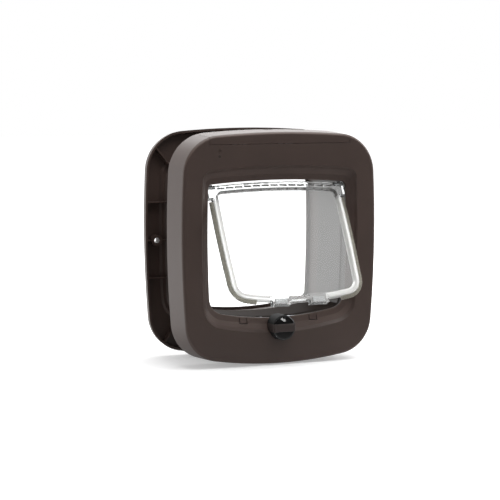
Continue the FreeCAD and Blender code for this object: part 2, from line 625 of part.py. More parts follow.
def lobe(y, start):
    """Quarter disc that stands in the flap's way while it points up."""
    disc = Part.makeCylinder(LOBE_R, LOBE, V(0, y, LOCK_Z), Y_AXIS, 90)
    disc.rotate(V(0, y, LOCK_Z), Y_AXIS, start)
    return disc


def lock_spindle():
    front = FRONT_LOBE_Y
    back = REAR_LOBE_Y + LOBE
    body = fuse(rod_y(0, LOCK_Z, FACE_Y - HUB_REACH, back + LOBE_GAP + WEB + JOURNAL_END, JOURNAL_R),
                rod_y(0, LOCK_Z, front, back, SPINDLE_R),
                lobe(FRONT_LOBE_Y, 90), lobe(REAR_LOBE_Y, 180))
    return body


def lock_knob():
    front, back = FACE_Y - KNOB_PROUD, FRONT_LOBE_Y - SEAM
    body = rod_y(0, LOCK_Z, front, back, KNOB_R)
    body = body.makeFillet(KNOB_DOME, edges_at(body, front))
    half = GRIP_HEIGHT / 2
    reach = KNOB_R - GRIP_INSET
    grip = box(-reach, reach, front - GRIP_PROUD, front + OVER, LOCK_Z - half, LOCK_Z + half)
    grip = grip.makeFillet(GRIP_EDGE, edges_at(grip, front - GRIP_PROUD))
    hollow = rod_y(0, LOCK_Z, FACE_Y + KNOB_SKIN, back + OVER, KNOB_R - KNOB_WALL)
    hub = rod_y(0, LOCK_Z, FACE_Y, back, JOURNAL_R + HUB_WALL)
    bore = rod_y(0, LOCK_Z, FACE_Y - HUB_REACH, back + OVER, JOURNAL_R)
    return fuse(fuse(body, grip).cut(hollow), hub).cut(bore)


# Latch

def latch_yoke():
    depth, height = YOKE_BAR
    y0 = HINGE_Y - depth / 2
    bar = box(SOLENOID_X - YOKE_END, LATCH_X + TONGUE[0] / 2, y0, y0 + depth, YOKE_Z, YOKE_Z + height)
    solids = [bar]
    for sx in (-1, 1):
        x0, x1 = sx * LATCH_X - TONGUE[0] / 2, sx * LATCH_X + TONGUE[0] / 2
        top = floor_z(LATCH_X, BAY_STEP) - TONGUE_GAP
        solids.append(box(x0, x1, FRONT_LOBE_Y, FRONT_LOBE_Y + TONGUE[1], YOKE_Z, top))
        solids.append(box(x0, x1, FRONT_LOBE_Y, y0 + ROOT, YOKE_Z, YOKE_Z + height))
    solids.append(rod_z(SOLENOID_X, HINGE_Y, YOKE_Z + height - ROOT, solenoid_bottom() + ROD_REACH, ROD_R))
    return fuse(*solids)


def solenoid_bottom():
    return YOKE_Z + YOKE_BAR[1] + LATCH_TRAVEL + SOLENOID_GAP


def latch_solenoid():
    width, depth, height = SOLENOID
    z = solenoid_bottom()
    x, y = SOLENOID_X, HINGE_Y
    back = y + depth / 2
    yoke = box(x - width / 2, x + width / 2, y - depth / 2, back, z, z + height)
    steel = SOLENOID_STEEL
    window = box(x - width, x + width, y - depth / 2 - OVER, back - steel, z + steel, z + height - steel)
    coil = rod_z(x, y, z + steel, z + height - steel, depth / 2 - steel - SLIDE_GAP)
    foot = box(x - width / 2, x + width / 2, back - steel, PLATE_FRONT, z, z + steel)
    bore = rod_z(x, y, z - OVER, z + height - steel / 2, ROD_R + SLIDE_GAP)
    return fuse(yoke.cut(window), coil, foot).cut(bore)


# Batteries

def cell_places():
    """Centre line y and start x of the four cells, two end to end in each of two rows."""
    space = PLATE_FRONT - (FACE_Y + WALL)
    gap = (space - 2 * CELL_D) / 3
    rows = [FACE_Y + WALL + gap + CELL_D / 2, PLATE_FRONT - gap - CELL_D / 2]
    return [(y, x) for y in rows for x in (-CELL_LENGTH - CELL_GAP / 2, CELL_GAP / 2)]


def battery_cell(index):
    y, x = cell_places()[index]
    nub, radius = CELL_NUB
    can = rod_x(x, x + CELL_LENGTH - nub, y, CELL_Z, CELL_D / 2)
    can = can.makeFillet(CELL_EDGE, [e for e in can.Edges if isinstance(e.Curve, Part.Circle)])
    body = fuse(can, rod_x(x + CELL_LENGTH / 2, x + CELL_LENGTH, y, CELL_Z, radius))
    if index >= 2:
        body.rotate(V(x + CELL_LENGTH / 2, y, CELL_Z), Z_AXIS, 180)
    return body


def battery_tray():
    end = TRAY_HALF
    y0, y1 = FACE_Y + WALL + TRAY_GAP, PLATE_FRONT - TRAY_GAP
    foot = CELL_Z - CELL_D / 2
    low = foot - TRAY_FLOOR
    floor = box(-end - TRAY_END, end + TRAY_END, y0, y1, low, foot + TRAY_LIP)
    ends = [box(x, x + TRAY_END, y0, y1, low, low + TRAY_END_RISE) for x in (-end - TRAY_END, end)]
    cradles = [rod_x(-end, end, y, CELL_Z, CELL_D / 2 + TRAY_GAP) for y, x in cell_places()[::2]]
    return fuse(floor.cut(cradles), *ends)


def contact_strip(x, y0, y1, bow):
    """Sheet contact on the tray's end, bowed towards the cell."""
    z0, z1 = CELL_Z - CONTACT_HALF, CELL_Z + CONTACT_HALF
    start, end = V(x, y0, z0), V(x, y0, z1)
    sheet = Part.Wire([Part.Arc(start, V(x + bow, y0, CELL_Z), end).toShape(),
                       Part.LineSegment(end, V(x + math.copysign(CONTACT, -bow), y0, z1)).toShape(),
                       Part.Arc(V(x + math.copysign(CONTACT, -bow), y0, z1),
                                V(x + bow + math.copysign(CONTACT, -bow), y0, CELL_Z),
                                V(x + math.copysign(CONTACT, -bow), y0, z0)).toShape(),
                       Part.LineSegment(V(x + math.copysign(CONTACT, -bow), y0, z0), start).toShape()])
    return Part.Face(sheet).extrude(V(0, y1 - y0, 0))


def battery_contacts():
    half = CONTACT_HALF
    rows = [y for y, x in cell_places()[::2]]
    bow = CONTACT_SPACE - CONTACT - CELL_GAP
    strips = [contact_strip(-TRAY_HALF + CONTACT, rows[0] - half, rows[1] + half, bow)]
    strips += [contact_strip(TRAY_HALF - CONTACT, y - half, y + half, -bow) for y in rows]
    return Part.makeCompound(strips)


# Electronics

def circuit_board():
    y0 = FACE_Y + WALL + BOARD_STANDOFF
    top = CELL_Z - CELL_D / 2 - TRAY_FLOOR
    strip = box(-BOARD_HALF, BOARD_HALF, y0, y0 + BOARD, top - BOARD_HEIGHT, top)
    side = box(-BOARD_HALF, -TRAY_HALF - TRAY_END - TRAY_GAP, y0, y0 + BOARD, top - OVER,
               top + BOARD_SIDE_RISE)
    width, height, thick = CHIP
    high = top - CHIP_DROP
    chips = [box(x - width / 2, x + width / 2, y0 + BOARD, y0 + BOARD + thick, high - height, high)
             for x in CHIPS_X]
    return fuse(strip, side, *chips)


def led_lens():
    return rod_y(LENS_X, FACE_TOP - LENS_DROP, FACE_Y, FACE_Y + WALL + BOARD_STANDOFF, LENS_R)


def learn_button():
    z = FACE_TOP - BUTTON_DROP
    back = FACE_Y + WALL + BOARD_STANDOFF - BUTTON_TRAVEL - BUTTON_SPARE
    return fuse(rod_y(LENS_X, z, FACE_Y + BUTTON_SINK, back, BUTTON_R),
                rod_y(LENS_X, z, FACE_Y + WALL + BUTTON_REST, back, BUTTON_R + BUTTON_FLANGE))


def reader_coil():
    build, width = COIL
    inner = TUNNEL_GAP + TUNNEL_WALL + COIL_GAP
    y1 = PLATE_FRONT - COIL_SINK
    return prism(TUNNEL, y1 - width, y1, inner + build).cut(
        prism(TUNNEL, y1 - width - OVER, y1 + OVER, inner))


# Outdoor frame

def rear_ribs():
    """Stiffening ribs between the edge wall and the recess, and a web across each corner."""
    y0, y1 = REAR_Y + RIB_SINK, REAR_FACE - WALL + ROOT
    ribs = []
    for z in (-RIB_PITCH, 0.0, RIB_PITCH):
        ribs.append(box(-FACE_WIDTH, FACE_WIDTH, y0, y1, z - RIB / 2, z + RIB / 2))
    for x in (-RIB_PITCH, 0.0, RIB_PITCH):
        ribs.append(box(x - RIB / 2, x + RIB / 2, y0, y1, -FACE_HEIGHT, FACE_HEIGHT))
    for sx in (-1, 1):
        for sz, angle in CORNER_WEBS:
            web = box(0, FACE_HEIGHT, y0, y1, -RIB / 2, RIB / 2)
            web.rotate(V(0, 0, 0), Y_AXIS, -sz * angle)
            web = mirrored(web, sx)
            web.translate(V(sx * CORNER_WEB_START[0], 0, MID_Z + sz * CORNER_WEB_START[1]))
            ribs.append(web)
    zone = taper(FRAME, REAR_Y, DRAFT - RIB_INSET, REAR_FACE, -RIB_INSET)
    return [r.common(zone) for r in ribs]


def rear_frame():
    body = taper(FRAME, REAR_Y, DRAFT, REAR_FACE, REAR_GROWTH)
    body = body.makeFillet(REAR_EDGE, edges_at(body, REAR_FACE))
    body = body.cut(taper(FRAME, REAR_Y - OVER, DRAFT - WALL, REAR_FACE - WALL, REAR_GROWTH - WALL))
    rim_y = REAR_FACE - REAR_RECESS_DEPTH
    dish = scoop(REAR_FACE - SCOOP_SINK, rim_y - WALL, WALL, TUNNEL)
    plate_y = REAR_FACE - WALL
    root = taper(RECESS, plate_y - ROOT_CHAMFER, WALL, plate_y + ROOT, WALL + ROOT_CHAMFER + ROOT)
    bosses = [rod_y(sx * SCREW_X, 0, REAR_Y + REAR_BOSS_SINK, plate_y + ROOT, FIXING_BOSS_R + REAR_BOSS_WALL)
              for sx in (-1, 1)]
    collar = prism(TUNNEL, REAR_Y - COLLAR_REACH, rim_y - ROOT, COLLAR_INSIDE + COLLAR_WALL)
    body = fuse(body, dish, root, collar, *bosses, *rear_ribs())
    cuts = [scoop(REAR_FACE, rim_y, 0.0, TUNNEL), prism(RECESS, REAR_FACE, REAR_FACE + OVER),
            prism(TUNNEL, rim_y - RIM - OVER, REAR_FACE),
            prism(TUNNEL, REAR_Y - COLLAR_REACH - OVER, rim_y - RIM, COLLAR_INSIDE)]
    cuts += [rod_y(sx * SCREW_X, 0, REAR_Y - OVER, REAR_FACE + OVER, SCREW_HOLE_R) for sx in (-1, 1)]
    return body.cut(cuts)


NODES = {
    "front_frame": front_frame,
    "battery_cover": battery_cover,
    "inner_chassis": inner_chassis,
    "keeper_plates": keeper_plates,
    "chassis_screws": chassis_screws,
    "hinge_bush_left": lambda: hinge_bush(-1),
    "hinge_bush_right": lambda: hinge_bush(1),
    "flap_pane": flap_pane,
    "flap_magnet_left": lambda: flap_magnet(-1),
    "flap_magnet_right": lambda: flap_magnet(1),
    "flap_brush_left": lambda: flap_brush(-1),
    "flap_brush_right": lambda: flap_brush(1),
    "hinge_pin_left": lambda: hinge_pin(-1),
    "hinge_pin_right": lambda: hinge_pin(1),
    "lock_spindle": lock_spindle,
    "lock_knob": lock_knob,
    "latch_yoke": latch_yoke,
    "latch_solenoid": latch_solenoid,
    "battery_cell_1": lambda: battery_cell(0),
    "battery_cell_2": lambda: battery_cell(1),
    "battery_cell_3": lambda: battery_cell(2),
    "battery_cell_4": lambda: battery_cell(3),
    "battery_tray": battery_tray,
    "battery_contacts": battery_contacts,
    "circuit_board": circuit_board,
    "led_lens": led_lens,
    "learn_button": learn_button,
    "reader_coil": reader_coil,
    "rear_frame": rear_frame,
}

os.makedirs("parts", exist_ok=True)
for name, build in NODES.items():
    shape = build()
    box_ = shape.BoundBox
    print("%-18s solids %d valid %s volume %.0f  x %.1f %.1f  y %.1f %.1f  z %.1f %.1f" % (
        name, len(shape.Solids), shape.isValid(), shape.Volume, box_.XMin, box_.XMax,
        box_.YMin, box_.YMax, box_.ZMin, box_.ZMax))
    shape.exportStep("parts/%s.step" % name)
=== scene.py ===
import math
import random

import bmesh
import bpy
from mathutils import Matrix, Vector


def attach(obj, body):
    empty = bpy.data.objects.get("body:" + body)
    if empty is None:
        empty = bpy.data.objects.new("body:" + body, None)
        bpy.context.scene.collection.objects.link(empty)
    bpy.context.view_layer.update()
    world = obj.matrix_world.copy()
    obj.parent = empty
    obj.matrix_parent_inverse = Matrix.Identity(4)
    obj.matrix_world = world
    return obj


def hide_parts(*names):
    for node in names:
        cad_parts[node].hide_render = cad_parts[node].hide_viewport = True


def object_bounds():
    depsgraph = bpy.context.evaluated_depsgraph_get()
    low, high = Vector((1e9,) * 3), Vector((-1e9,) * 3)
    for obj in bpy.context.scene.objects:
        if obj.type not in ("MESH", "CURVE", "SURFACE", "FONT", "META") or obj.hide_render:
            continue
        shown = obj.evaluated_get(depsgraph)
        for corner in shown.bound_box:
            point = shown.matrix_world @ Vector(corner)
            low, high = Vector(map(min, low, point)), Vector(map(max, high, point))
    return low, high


# A cat flap for a door: the indoor frame with its lock and battery cover, the clear flap, and the
# outdoor frame behind. Metres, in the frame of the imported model.
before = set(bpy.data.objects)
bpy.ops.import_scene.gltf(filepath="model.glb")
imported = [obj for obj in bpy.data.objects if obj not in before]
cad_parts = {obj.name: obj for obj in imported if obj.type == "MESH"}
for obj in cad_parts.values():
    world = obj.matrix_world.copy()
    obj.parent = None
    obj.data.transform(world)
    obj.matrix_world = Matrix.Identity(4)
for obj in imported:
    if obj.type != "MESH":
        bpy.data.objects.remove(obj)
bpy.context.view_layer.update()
MM = 0.001
random.seed(7)


# Indoor frame, battery cover and outdoor frame
# The three big mouldings that face the rooms. Brown ABS, injection moulded in a tool with a fine
# spark-eroded texture, so the plastic has a satin, not glossy, skin. The slopes above and below the
# opening are painted paler: painted light for the light that falls on them from above and the floor.

BROWN = "473832"
# the real texture is about 0.1 mm between peaks; drawn at 0.5 mm so that it shows
TEXTURE_MM, TEXTURE_RELIEF_MM = 0.5, 0.01
FLOW_MARK = 60 * MM
TONE_SPREAD, GLOSS_SPREAD = 0.07, 0.05
# how much paler the slopes are painted, as painted light
SLOPE_LIGHT_GAIN = 1.4
# how far a face leans up or down, and how far it looks to the room, before it gets painted light
LEANING = {"From Min": 0.15, "From Max": 0.35}
TO_THE_ROOM = {"From Min": -0.6, "From Max": -0.75}


def linear(code, gain=1.0):
    """sRGB hex to the linear colour that the shaders take, made darker or lighter by a gain."""
    parts = [int(code[i:i + 2], 16) / 255 for i in (0, 2, 4)]
    parts = [c / 12.92 if c <= 0.04045 else ((c + 0.055) / 1.055) ** 2.4 for c in parts]
    return [min(c * gain, 1.0) for c in parts] + [1.0]


def add(tree, kind, links=(), stops=(), **settings):
    """Add a node with its settings.

    links names each input with its value, or with the socket or the node that feeds it; a node
    gives its first output. stops are a colour ramp's positions and colours, in rising order.
    """
    made = tree.nodes.new("ShaderNode" + kind)
    for name, value in settings.items():
        setattr(made, name, value)
    for name, value in dict(links).items():
        if isinstance(value, bpy.types.Node):
            value = value.outputs[0]
        if isinstance(value, bpy.types.NodeSocket):
            tree.links.new(value, made.inputs[name])
        else:
            made.inputs[name].default_value = value
    if stops:
        elements = made.color_ramp.elements
        while len(elements) < len(stops):
            elements.new(1.0)
        for element, (position, colour) in zip(elements, stops):
            element.position, element.color = position, colour
    return made


def new_material(name):
    made = bpy.data.materials.new(name)
    made.use_nodes = True
    made.node_tree.nodes.clear()
    return made, made.node_tree


def dress(made, *names):
    """Give CAD nodes their material."""
    for name in names:
        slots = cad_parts[name].data.materials
        slots.clear()
        slots.append(made)


def moulded(name, colour, rough, grain_mm, relief_mm):
    """Moulded plastic: even colour with faint flow marks, and fine grain in height and gloss."""
    made, tree = new_material(name)
    place = add(tree, "TexCoord").outputs["Object"]
    grain = add(tree, "TexNoise", {"Vector": place, "Scale": 1 / (grain_mm * MM), "Detail": 3.0})
    flow = add(tree, "TexNoise", {"Vector": place, "Scale": 1 / FLOW_MARK, "Detail": 2.0})
    tint = add(tree, "ValToRGB", {"Fac": flow}, stops=(
        (0.3, linear(colour, 1 - TONE_SPREAD)), (0.7, linear(colour, 1 + TONE_SPREAD))))
    gloss = add(tree, "MapRange", {
        "Value": grain, "To Min": rough - GLOSS_SPREAD, "To Max": rough + GLOSS_SPREAD})
    bump = add(tree, "Bump", {"Height": grain, "Distance": relief_mm * MM, "Strength": 1.0})
    shader = add(tree, "BsdfPrincipled", {
        "Base Color": tint, "Roughness": gloss, "Normal": bump, "IOR": 1.53})
    add(tree, "OutputMaterial", {"Surface": shader})
    return made


def paint_slope_light(made):
    """Paint light on the leaning faces that look to the room, by making their colour paler."""
    tree = made.node_tree
    base = tree.nodes["Principled BSDF"].inputs["Base Color"]
    facing = add(tree, "SeparateXYZ", {"Vector": add(tree, "TexCoord").outputs["Normal"]})
    lean = add(tree, "Math", {0: facing.outputs["Z"]}, operation="ABSOLUTE")
    leaning = add(tree, "MapRange", {"Value": lean, **LEANING})
    to_the_room = add(tree, "MapRange", {"Value": facing.outputs["Y"], **TO_THE_ROOM})
    slope_lit = add(tree, "Math", {0: leaning, 1: to_the_room}, operation="MULTIPLY")
    # painted light: the colour raised on faces that lean and look to the room
    gain = add(tree, "MapRange", {"Value": slope_lit, "To Min": 1.0, "To Max": SLOPE_LIGHT_GAIN})
    tone = add(tree, "VectorMath", {0: base.links[0].from_socket, "Scale": gain}, operation="SCALE")
    tree.links.new(tone.outputs["Vector"], base)


brown_abs = moulded("brown_abs_satin", BROWN, 0.48, TEXTURE_MM, TEXTURE_RELIEF_MM)
# painted light on the slopes above and below the opening
paint_slope_light(brown_abs)
dress(brown_abs, "front_frame", "battery_cover", "rear_frame")


# Chassis and battery tray
# The back plate with the inner half of the tunnel, and the trough that holds the cells. The same ABS
# in a near-black brown, from a plain tool. The tunnel's floor is scuffed by paws, so it hardly shines.

CHASSIS_BROWN = "332B27"
FLOOR_SHINE = {"From Min": 0.5, "From Max": 0.8, "To Min": 0.5, "To Max": 0.004}


def scuff(made):
    """Take the shine off faces that look up."""
    tree = made.node_tree
    up = add(tree, "SeparateXYZ", {"Vector": add(tree, "NewGeometry").outputs["Normal"]}).outputs["Z"]
    shine = add(tree, "MapRange", {"Value": up, **FLOOR_SHINE})
    tree.links.new(shine.outputs["Result"], tree.nodes["Principled BSDF"].inputs["Specular IOR Level"])


brown_chassis = moulded("dark_abs_chassis", CHASSIS_BROWN, 0.5, TEXTURE_MM, 0.001)
scuff(brown_chassis)
dress(brown_chassis, "inner_chassis", "battery_tray")


# Keeper plates and chassis screws
# Steel pressings set in the sill under the flap's magnets, and self-tapping screws that hold the
# chassis. Both are zinc plated, which leaves them pale, slightly blue and patchy.

METAL_RELIEF = 0.004 * MM
METAL_DARK, METAL_LIGHT, METAL_GLOSS_SPREAD = 0.8, 1.15, 0.07


def metal(name, colour, rough, grain_mm, stretch=(1, 1, 1)):
    """Bare or plated metal with a rolled or ground grain."""
    made, tree = new_material(name)
    place = add(tree, "Mapping", {"Vector": add(tree, "TexCoord").outputs["Object"], "Scale": stretch})
    grain = add(tree, "TexNoise", {"Vector": place, "Scale": 1 / (grain_mm * MM), "Detail": 4.0})
    tint = add(tree, "ValToRGB", {"Fac": grain}, stops=(
        (0, linear(colour, METAL_DARK)), (1, linear(colour, METAL_LIGHT))))
    gloss = add(tree, "MapRange", {
        "Value": grain, "To Min": rough - METAL_GLOSS_SPREAD, "To Max": rough + METAL_GLOSS_SPREAD})
    bump = add(tree, "Bump", {"Height": grain, "Distance": METAL_RELIEF, "Strength": 0.6})
    shader = add(tree, "BsdfPrincipled", {
        "Base Color": tint, "Roughness": gloss, "Normal": bump, "Metallic": 1.0})
    add(tree, "OutputMaterial", {"Surface": shader})
    return made


zinc = metal("zinc_plated_steel", "BFC2C6", 0.34, 1.2)
dress(zinc, "keeper_plates", "chassis_screws")


# Hinge bushes and pins
# Bushes of natural acetal, pressed into the chassis: off-white, with a waxy shine.
# The pins are ground steel, pressed into the flap: bright, with fine lines along their length.

acetal = moulded("natural_acetal", "DEDDD6", 0.35, 1.5, 0.003)
dress(acetal, "hinge_bush_left", "hinge_bush_right")
ground_steel = metal("ground_steel_pin", "C4C4C6", 0.22, 0.3, stretch=(0.05, 1, 1))
dress(ground_steel, "hinge_pin_left", "hinge_pin_right")


# Flap
# One clear polycarbonate moulding from a polished tool, with a thick rim round a thin pane.
# The eye sees bright edges, a faint haze over what is behind, and very little colour. The rim is
# lightly textured below the top rail, and less so on its two blocks.

HINGE = Vector((0, -21.2, 57.95)) * MM
OPEN_ANGLE = math.radians(28.3)
flap_place = Matrix.Translation(HINGE) @ Matrix.Rotation(-OPEN_ANGLE, 4, "X")
PANE_HALF, PANE_EDGE = 1.3 * MM, 0.1 * MM
RAIL_FOOT, RAIL_EDGE = 13.0 * MM, 5.0 * MM
BLOCK_HALF, BLOCK_TOP, BLOCK_EDGE = 30.6 * MM, 117.0 * MM, 0.3 * MM
PANE_HAZE, RIM_HAZE, BLOCK_SHARE = 0.05, 0.42, 0.15
RIPPLE, RIPPLE_HEIGHT, RIPPLE_ROUGH = 14 * MM, 0.03 * MM, 0.03


def frosting(tree, place):
    """How hazy the flap is, from where a point lies across, through and down the flap."""
    in_flap = add(tree, "Mapping", {"Vector": place, "Location": HINGE, "Rotation": (-OPEN_ANGLE, 0, 0)},
                  vector_type="TEXTURE")
    across, through, up = add(tree, "SeparateXYZ", {"Vector": in_flap}).outputs
    off_middle = add(tree, "Math", {0: across}, operation="ABSOLUTE")
    off_plane = add(tree, "Math", {0: through}, operation="ABSOLUTE")
    rim = add(tree, "MapRange", {
        "Value": off_plane, "From Min": PANE_HALF, "From Max": PANE_HALF + PANE_EDGE})
    below_rail = add(tree, "MapRange", {
        "Value": up, "From Min": -RAIL_FOOT, "From Max": -RAIL_FOOT - RAIL_EDGE})
    beside_blocks = add(tree, "MapRange", {
        "Value": off_middle, "From Min": BLOCK_HALF, "From Max": BLOCK_HALF + BLOCK_EDGE})
    above_blocks = add(tree, "MapRange", {
        "Value": up, "From Min": -BLOCK_TOP - BLOCK_EDGE, "From Max": -BLOCK_TOP})
    off_blocks = add(tree, "Math", {0: beside_blocks, 1: above_blocks}, operation="MAXIMUM")
    frosted = add(tree, "Math", {0: off_blocks, 1: BLOCK_SHARE}, operation="MAXIMUM")
    for mask in (rim, below_rail):
        frosted = add(tree, "Math", {0: frosted, 1: mask}, operation="MULTIPLY")
    return add(tree, "MapRange", {"Value": frosted, "To Min": PANE_HAZE, "To Max": RIM_HAZE})


def clear_polycarbonate():
    made, tree = new_material("clear_polycarbonate")
    place = add(tree, "TexCoord").outputs["Object"]
    ripple = add(tree, "TexNoise", {"Vector": place, "Scale": 1 / RIPPLE, "Detail": 1.0})
    bump = add(tree, "Bump", {"Height": ripple, "Distance": RIPPLE_HEIGHT, "Strength": 0.5})
    gloss = add(tree, "MapRange", {"Value": ripple, "To Min": 0.0, "To Max": RIPPLE_ROUGH})
    clear = add(tree, "BsdfPrincipled", {
        "Base Color": linear("FAFCFC"), "Roughness": gloss, "Normal": bump, "IOR": 1.585,
        "Transmission Weight": 1.0})
    haze = add(tree, "BsdfDiffuse", {"Color": linear("F6F5F2")})
    seen = add(tree, "MixShader", {0: frosting(tree, place), 1: clear, 2: haze})
    # a clear flap throws next to no shadow
    shadow = add(tree, "BsdfTransparent", {"Color": linear("F4F6F7")})
    is_shadow = add(tree, "LightPath").outputs["Is Shadow Ray"]
    both = add(tree, "MixShader", {0: is_shadow, 1: seen, 2: shadow})
    add(tree, "OutputMaterial", {"Surface": both})
    return made


dress(clear_polycarbonate(), "flap_pane")


# Flap magnets
# Two small bars pressed into the blocks at the flap's foot. Sintered magnet under dull nickel
# plate, which is grey and hardly mirrors.

nickel = metal("dull_nickel_magnet", "D8DADC", 0.4, 0.7)
dress(nickel, "flap_magnet_left", "flap_magnet_right")


# Flap brushes
# Nylon pile held in a woven backing, glued into a groove along each side of the flap and round its
# corner. Close up it is thousands of short fibres that all stand straight out, grey with a little
# difference in shade from tuft to tuft.

FLAP_HALF, FLAP_FOOT, FLAP_CORNER = 71.7 * MM, 126.4 * MM, 16.5 * MM
SIDE_RADIUS, FOOT_RADIUS, SIDE_CREST = 1400 * MM, 316 * MM, -43.45 * MM
BRUSH_START, BRUSH_END = 15.4 * MM, 46.4 * MM
PILE_ROOT, PILE_TIP, PILE_THICK = -1.3 * MM, 3.6 * MM, 3.9 * MM
FIBRE_STEP, FIBRE_ROWS, FIBRE_RADIUS, FIBRE_SIDES = 0.33 * MM, 9, 0.13 * MM, 3
# each ring of a fibre: its share of the length, and of the radius
FIBRE_RINGS = ((0, 1.0), (0.6, 0.95), (1, 0.6))
LEAN, TRIM_MM, SWAY_MM = 0.045, 0.16, 0.04
TUFT = 0.9 * MM


def brush_line():
    """Points and outward directions down the flap's side, round its corner and along its foot."""
    side = Vector((FLAP_HALF - SIDE_RADIUS, SIDE_CREST))
    foot = Vector((0, -FLAP_FOOT + FOOT_RADIUS))
    side_reach, foot_reach = SIDE_RADIUS - FLAP_CORNER, FOOT_RADIUS - FLAP_CORNER
    span = (foot - side).length
    along = (side_reach * side_reach - foot_reach * foot_reach + span * span) / (2 * span)
    across = math.sqrt(side_reach * side_reach - along * along)
    unit = (foot - side) / span
    corner = side + unit * along + Vector((unit.y, -unit.x)) * across
    turn = [math.atan2(*(corner - centre).yx) for centre in (side, foot)]
    first = math.asin((-BRUSH_START - side.y) / SIDE_RADIUS)
    last = -math.acos(BRUSH_END / FOOT_RADIUS)
    line = []
    for centre, radius, start, end in ((side, SIDE_RADIUS, first, turn[0]),
                                       (corner, FLAP_CORNER, turn[0], turn[1]),
                                       (foot, FOOT_RADIUS, turn[1], last)):
        steps = max(int(abs(end - start) * radius / FIBRE_STEP), 1)
        for i in range(steps):
            angle = start + (end - start) * i / steps
            out = Vector((math.cos(angle), math.sin(angle)))
            line.append((centre + out * radius, out))
    return line


def fibre(mesh, base, reach, along, depth, tip, hand):
    """A thin rod from its root in the backing to a narrower tip; hand is -1 left and 1 right."""
    rings = []
    for share, taper in FIBRE_RINGS:
        centre = base + reach * (PILE_ROOT + (tip - PILE_ROOT) * share)
        y = depth + random.gauss(0, SWAY_MM) * MM * share
        ring = []
        for k in range(FIBRE_SIDES):
            angle = 2 * math.pi * k / FIBRE_SIDES
            spot = centre + along * math.cos(angle) * FIBRE_RADIUS * taper
            ring.append(mesh.verts.new((spot.x * hand, y + math.sin(angle) * FIBRE_RADIUS * taper, spot.y)))
        rings.append(ring)
    for lower, upper in zip(rings, rings[1:]):
        for k in range(FIBRE_SIDES):
            after = (k + 1) % FIBRE_SIDES
            mesh.faces.new((lower[k], lower[after], upper[after], upper[k]))
    mesh.faces.new(rings[-1])
    mesh.faces.new(rings[0][::-1])


def as_piece(mesh, name, material):
    """The finished mesh as an object in the scene."""
    data = bpy.data.meshes.new(name)
    mesh.to_mesh(data)
    mesh.free()
    data.materials.append(material)
    piece = bpy.data.objects.new(name, data)
    bpy.context.scene.collection.objects.link(piece)
    return piece


def brush(name, node, hand, material):
    mesh = bmesh.new()
    for point, out in brush_line():
        along = Vector((-out.y, out.x))
        for row in range(FIBRE_ROWS):
            reach = (out + along * random.gauss(0, LEAN)).normalized()
            depth = ((row + random.random()) / FIBRE_ROWS - 0.5) * PILE_THICK
            tip = PILE_TIP - abs(random.gauss(0, TRIM_MM)) * MM
            base = point + along * random.uniform(-0.5, 0.5) * FIBRE_STEP
            fibre(mesh, base, reach, along, depth, tip, hand)
    bmesh.ops.recalc_face_normals(mesh, faces=mesh.faces)
    mesh.transform(flap_place)
    piece = as_piece(mesh, name, material)
    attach(piece, "flap")
    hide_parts(node)


def nylon_pile():
    made, tree = new_material("nylon_brush_pile")
    place = add(tree, "TexCoord").outputs["Object"]
    tuft = add(tree, "TexNoise", {"Vector": place, "Scale": 1 / TUFT, "Detail": 2.0})
    tint = add(tree, "ValToRGB", {"Fac": tuft}, stops=((0.35, linear("8A867B")), (0.68, linear("C2BEB0"))))
    rough = add(tree, "MapRange", {"Value": tuft, "To Min": 0.55, "To Max": 0.75})
    shader = add(tree, "BsdfPrincipled", {"Base Color": tint, "Roughness": rough, "Sheen Weight": 0.25})
    add(tree, "OutputMaterial", {"Surface": shader})
    return made


pile = nylon_pile()
brush("brush_fibres_left", "flap_brush_left", -1, pile)
brush("brush_fibres_right", "flap_brush_right", 1, pile)


# Lock knob
# Black ABS from a polished tool, turned with the fingers by the bar across its face. The bar and the
# knob's side are left duller for grip, and the bar is painted a lighter brown as painted sheen. A
# small pad printed pointer shows which of the four settings is on.

KNOB_FACE = Vector((0, -46.2, -83.75)) * MM
BAR_HALF, BAR_EDGE = 4.0 * MM, 0.3 * MM
BAR_ROUGH, SIDE_ROUGH = 0.45, 0.8
FACE_ROUGH = {"To Min": 0.06, "To Max": 0.12}
FROM_FACE_TO_SIDE = {"From Min": -0.6, "From Max": -0.4}
FINGER_MARK = 3 * MM
PRINT_THICK = 0.04 * MM
POINTER_MM = ((-4.6, 9.2), (-2.4, 10.6), (-1.2, 8.7), (0.2, 9.4), (1.2, 6.6), (-1.8, 6.5),
              (-1.0, 7.3), (-3.0, 7.9))


def knob_plastic():
    made, tree = new_material("polished_black_abs")
    coordinates = add(tree, "TexCoord")
    place = coordinates.outputs["Object"]
    height = add(tree, "SeparateXYZ", {"Vector": place}).outputs["Z"]
    off_middle = add(tree, "Math", {0: height, 1: KNOB_FACE.z}, operation="SUBTRACT")
    off_middle = add(tree, "Math", {0: off_middle}, operation="ABSOLUTE")
    off_bar = add(tree, "MapRange", {
        "Value": off_middle, "From Min": BAR_HALF, "From Max": BAR_HALF + BAR_EDGE})
    wear = add(tree, "TexNoise", {"Vector": place, "Scale": 1 / FINGER_MARK, "Detail": 2.0})
    polished = add(tree, "MapRange", {"Value": wear, **FACE_ROUGH})
    front = add(tree, "Mix", {"Factor": off_bar, "A": BAR_ROUGH, "B": polished})
    facing = add(tree, "SeparateXYZ", {"Vector": coordinates.outputs["Normal"]}).outputs["Y"]
    side = add(tree, "MapRange", {"Value": facing, **FROM_FACE_TO_SIDE, "To Min": 0.0, "To Max": SIDE_ROUGH})
    rough = add(tree, "Math", {0: front, 1: side}, operation="MAXIMUM")
    # painted sheen: the bar lighter brown than the black rest of the knob
    tint = add(tree, "ValToRGB", {"Fac": off_bar}, stops=((0, linear("3A302D")), (1, linear("0B0A0A"))))
    shader = add(tree, "BsdfPrincipled", {"Base Color": tint, "Roughness": rough, "IOR": 1.53})
    add(tree, "OutputMaterial", {"Surface": shader})
    return made


